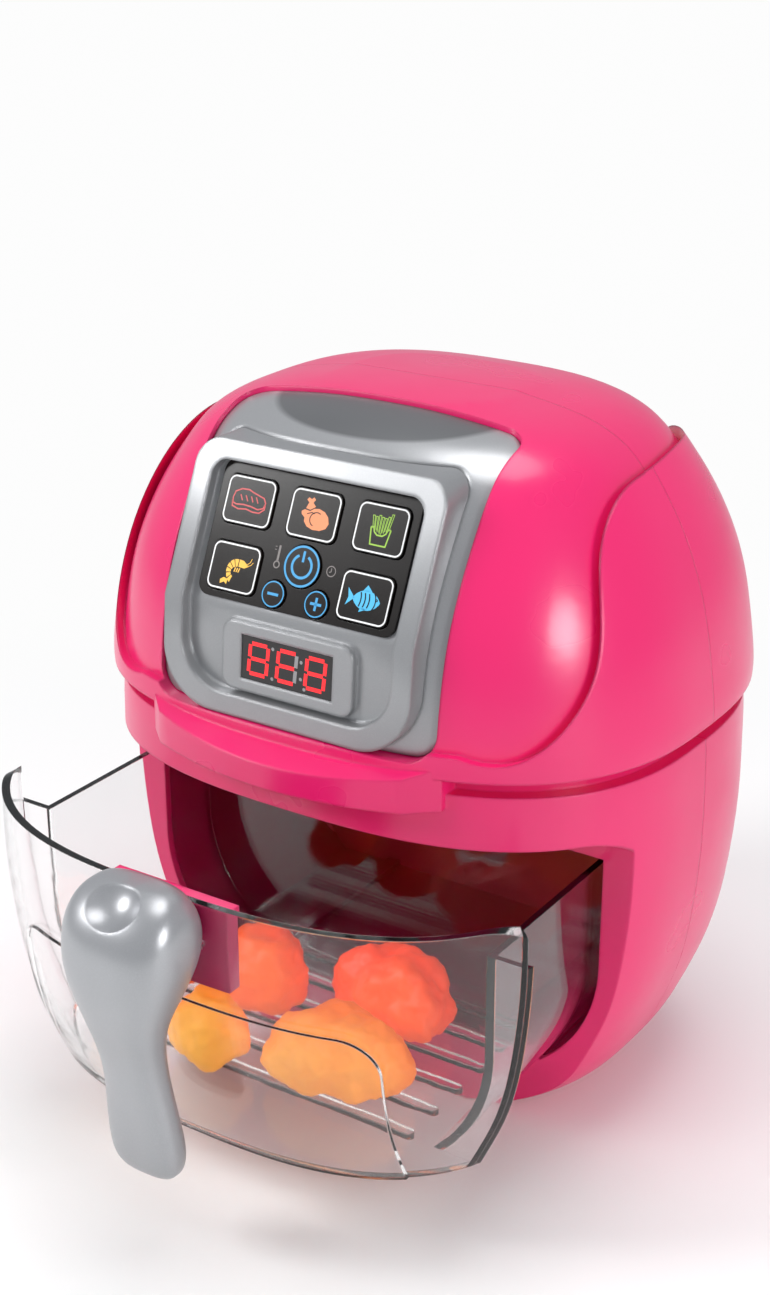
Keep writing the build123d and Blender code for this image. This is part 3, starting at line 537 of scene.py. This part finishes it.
sign_width = 0.62
bar_half = 1.5
power_marks = [ring_line(0, 0, 4.5, 0.5), stroke(arc(0, 0, 2.6, 2.6, 118, 422, 30), sign_width),
               stroke([(0, 1.0), (0, 3.5)], sign_width)]
minus_marks = [ring_line(0, 0, 2.85, 0.3), stroke([(-bar_half, 0), (bar_half, 0)], sign_width)]
plus_marks = minus_marks + [stroke([(0, -bar_half), (0, bar_half)], sign_width)]

food_frame = [round_box(6.35, 5.2, 1.6, 0.36)]
column = 18.0
high_row = 8.4
low_row = -7.1
key_prints = {"steak": (-column, high_row, [(food_frame, white_ink), (steak_marks, red_ink)]),
              "chicken": (0.0, high_row, [(food_frame, white_ink), (chicken_marks, orange_ink)]),
              "fries": (column, high_row, [(food_frame, white_ink), (fries_marks, green_ink)]),
              "shrimp": (-column, low_row, [(food_frame, white_ink), (shrimp_marks, yellow_ink)]),
              "fish": (column, low_row, [(food_frame, white_ink), (fish_marks, sky_ink)]),
              "power": (0.0, -3.4, [(power_marks, blue_ink)]),
              "minus": (-5.9, -10.9, [(minus_marks, blue_ink)]),
              "plus": (5.9, -10.9, [(plus_marks, blue_ink)])}
for key, (u, v, layers) in key_prints.items():
    body = "key_" + key
    dress(body, cap_black)
    for number, (marks, colour) in enumerate(layers):
        printed("print_%s_%d" % (key, number), marks, (u, v), cap_top + print_rise, on_keypad, colour, body)
over_print = cap_top + 2 * print_rise
printed("print_chicken_2", chicken_lines, (0, high_row), over_print, on_keypad, cap_black, "key_chicken")
printed("print_fish_2", fish_lines, (column, low_row), over_print, on_keypad, cap_black, "key_fish")

thermometer = [ring_line(-7.1, -4.2, 0.75, 0.3, 16), stroke([(-7.1, -3.5), (-7.1, 0.2)], 0.55),
               stroke([(-8.4, -0.2), (-7.9, -0.2)], 0.14), stroke([(-8.4, -0.9), (-7.9, -0.9)], 0.14)]
clock = [ring_line(7.6, -3.0, 1.15, 0.22, 24), stroke([(7.6, -2.3), (7.6, -3.1), (7.1, -3.3)], 0.2)]
printed("print_thermometer", thermometer, (0, 0), film_top + print_rise, on_keypad, grey_ink, "housing")
printed("print_clock", clock, (0, 0), film_top + print_rise, on_keypad, grey_ink, "housing")
slot_half = 20.5
slot_height = 16.6
slot_line = [stroke([(-slot_half, slot_height), (slot_half, slot_height)], 0.5)]
printed("film_slot", slot_line, (0, 0), film_top + print_rise, on_keypad, cap_black, "housing")

# Display
# Three red seven-segment figures with dots between them, behind a dark window in the
# raised surround.
low_tilt = math.radians(5.0)
bend_drop = 16.0
display_height = 123.0
window_top = 1.5
bend = panel_middle - panel_up * bend_drop
low_up = Vector((0, math.sin(low_tilt), math.cos(low_tilt)))
low_out = Vector((0, -math.cos(low_tilt), math.sin(low_tilt)))
display_middle = bend - low_up * ((bend.z - display_height) / math.cos(low_tilt))


def on_display(u, v, lift):
    return (display_middle + Vector((u, 0, 0)) + low_up * v + low_out * lift) * 0.001


window_dark = moulded_material(
    "display_window", tint(26, 20, 22), tint(20, 15, 17), (0.10, 0.16), edge=0.0002)
dress("display_window", window_dark)
lit_red = ink("lit_red", (238, 30, 38), shine=0.9)
unlit_grey = ink("unlit_grey", (150, 150, 152))
segment_lines = {"top": ((-2.1, 3.6), (2.1, 3.6)), "middle": ((-2.1, 0), (2.1, 0)),
                 "bottom": ((-2.1, -3.6), (2.1, -3.6)),
                 "left_high": ((-2.5, 3.25), (-2.5, 0.35)), "left_low": ((-2.5, -0.35), (-2.5, -3.25)),
                 "right_high": ((2.5, 3.25), (2.5, 0.35)), "right_low": ((2.5, -0.35), (2.5, -3.25))}
figure_lean = 0.07
segment_width = 0.95
dot_radius = 0.42
figures = ((-7.9, ()), (0.0, ("right_high", "right_low")), (7.9, ()))
lit_marks = []
dark_marks = []
for middle, unlit in figures:
    for segment, ((u0, v0), (u1, v1)) in segment_lines.items():
        ends = [(middle + u0 + v0 * figure_lean, v0), (middle + u1 + v1 * figure_lean, v1)]
        (dark_marks if segment in unlit else lit_marks).append(stroke(ends, segment_width))
for u, v in ((-3.95, 3.4), (-3.95, -3.7), (3.95, 2.0), (3.95, -2.0), (5.0, -4.2)):
    dark_marks.append(patch(arc(u, v, dot_radius, dot_radius, 0, 360, 14)[:-1]))
printed("display_lit", lit_marks, (0, 0), window_top + print_rise, on_display, lit_red, "housing")
printed("display_unlit", dark_marks, (0, 0), window_top + print_rise, on_display, unlit_grey, "housing")

# Boards, lamp, switch and batteries
# The works behind the panel and the back door: green boards, switches under the caps,
# a red lamp over the drawer, a speaker, three cells in a black case.
board_green = moulded_material("board_lacquer", tint(24, 92, 52), tint(18, 74, 42), (0.28, 0.4),
                               grain=(1500.0, 0.00003), edge=0.0002)
for board_node in ("keypad_board", "display_board", "lamp_board"):
    dress(board_node, board_green)
black_case = moulded_material("black_case", tint(34, 34, 36), tint(26, 26, 28), (0.42, 0.55),
                              grain=(1400.0, 0.00004), edge=0.0004)
for case_node in ("key_switches", "speaker", "battery_case", "power_switch_knob"):
    dress(case_node, black_case)
nickel = moulded_material(
    "nickel_spring", tint(196, 194, 188), tint(176, 174, 168), (0.2, 0.32), edge=0.0002)
surface_of(nickel).inputs["Metallic"].default_value = 1.0
for metal_node in ("battery_contacts", "power_switch_can"):
    dress(metal_node, nickel)
cell_sleeve = moulded_material(
    "cell_sleeve", tint(40, 74, 140), tint(34, 64, 124), (0.22, 0.3), edge=0.0004)
dress("battery_cells", cell_sleeve)
module_white = moulded_material(
    "module_white", tint(222, 222, 216), tint(210, 210, 204), (0.4, 0.5), edge=0.0003)
dress("display_module", module_white)
lamp_red = moulded_material(
    "lamp_red", tint(255, 96, 96), tint(250, 80, 84), (0.08, 0.14), edge=0.0003)
lamp_shader = surface_of(lamp_red)
lamp_shader.inputs["Emission Color"].default_value = tint(255, 60, 66)
lamp_shader.inputs["Emission Strength"].default_value = 6.0
dress("lamp_lens", lamp_red)
dress("lamp_diode", lamp_red)

# Drawer
# A deep tub and a curved front moulded in clear, slightly smoky polystyrene, glued at
# the flange. The cut edges look dark, and ribs keep the food off the floor.


def clear_plastic(name, colour, low, high):
    material = moulded_material(name, tint(*colour), tint(*[part - 4 for part in colour]), (low, high),
                                grain=(500.0, 0.000004), edge=0.0004)
    shader = surface_of(material)
    shader.inputs["Transmission Weight"].default_value = 1.0
    shader.inputs["IOR"].default_value = 1.42
    return material


smoke = clear_plastic("clear_drawer", (252, 252, 252), 0.02, 0.05)
dress("drawer_front", smoke)
dress("drawer_tub", smoke)
handle_silver = silver_paint("handle_paint", (172, 173, 176), (158, 159, 162), 0.26, 0.34)
dress("handle_grip", handle_silver)
dress("handle_cover", handle_silver)

# Toy food
# Lumpy battered pieces in soft plastic, sprayed deep orange at the back and fading to
# golden yellow at the front, loose on the ribs.


def batter(name):
    """Sprayed food plastic, orange at the back of the drawer and golden at the front, with a faint painted
    glow.
    """
    material = moulded_material(name, tint(240, 96, 24), tint(238, 88, 20), (0.42, 0.55),
                                grain=(420.0, 0.00008), edge=0.0008)
    nodes, links = material.node_tree.nodes, material.node_tree.links
    shader = surface_of(material)
    place = nodes.new("ShaderNodeTexCoord")
    parts = nodes.new("ShaderNodeSeparateXYZ")
    fade = nodes.new("ShaderNodeMapRange")
    fade.inputs["From Min"].default_value = -0.080
    fade.inputs["From Max"].default_value = -0.034
    wander = nodes.new("ShaderNodeTexNoise")
    wander.inputs["Scale"].default_value = 70
    add = nodes.new("ShaderNodeMath")
    add.operation = "MULTIPLY_ADD"
    add.inputs[1].default_value = 0.012
    colours = nodes.new("ShaderNodeValToRGB")
    colours.color_ramp.elements[0].color = tint(255, 178, 70)
    colours.color_ramp.elements[1].color = tint(248, 66, 8)
    middle = colours.color_ramp.elements.new(0.45)
    middle.color = tint(255, 124, 22)
    links.new(place.outputs["Object"], parts.inputs[0])
    links.new(place.outputs["Object"], wander.inputs["Vector"])
    links.new(wander.outputs["Fac"], add.inputs[0])
    links.new(parts.outputs["Y"], add.inputs[2])
    links.new(add.outputs[0], fade.inputs["Value"])
    links.new(fade.outputs["Result"], colours.inputs["Fac"])
    links.new(colours.outputs["Color"], shader.inputs["Base Color"])
    # Painted light: the food is given a faint glow in its own colour, though it is no lamp.
    links.new(colours.outputs["Color"], shader.inputs["Emission Color"])
    shader.inputs["Emission Strength"].default_value = 0.36
    shader.inputs["Subsurface Weight"].default_value = 0.12
    shader.inputs["Subsurface Radius"].default_value = (0.004, 0.002, 0.001)
    return material


golden_batter = batter("golden_batter")
lump_noise = bpy.data.textures.new("lump_noise", "CLOUDS")
lump_noise.noise_scale = 0.007
lump_noise.noise_depth = 2
for number in range(1, 7):
    node = "food_lump_%d" % number
    rough = bpy.data.objects.new("rough_" + node, merged_copy(node))
    scene.collection.objects.link(rough)
    remesh = rough.modifiers.new("even", "REMESH")
    remesh.mode = "VOXEL"
    remesh.voxel_size = 0.0009
    soften = rough.modifiers.new("soften", "SMOOTH")
    soften.iterations = 6
    wobble = rough.modifiers.new("wobble", "DISPLACE")
    wobble.texture = lump_noise
    wobble.texture_coords = "LOCAL"
    wobble.strength = 0.0045
    wobble.mid_level = 0.62
    bpy.context.view_layer.update()
    mesh = bpy.data.meshes.new_from_object(rough.evaluated_get(bpy.context.evaluated_depsgraph_get()))
    bpy.data.objects.remove(rough)
    mesh.name = node + "_batter"
    for face in mesh.polygons:
        face.use_smooth = True
    lump = bpy.data.objects.new(node + "_batter", mesh)
    scene.collection.objects.link(lump)
    mesh.materials.clear()
    mesh.materials.append(golden_batter)
    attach(lump, "drawer")
    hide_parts(node)
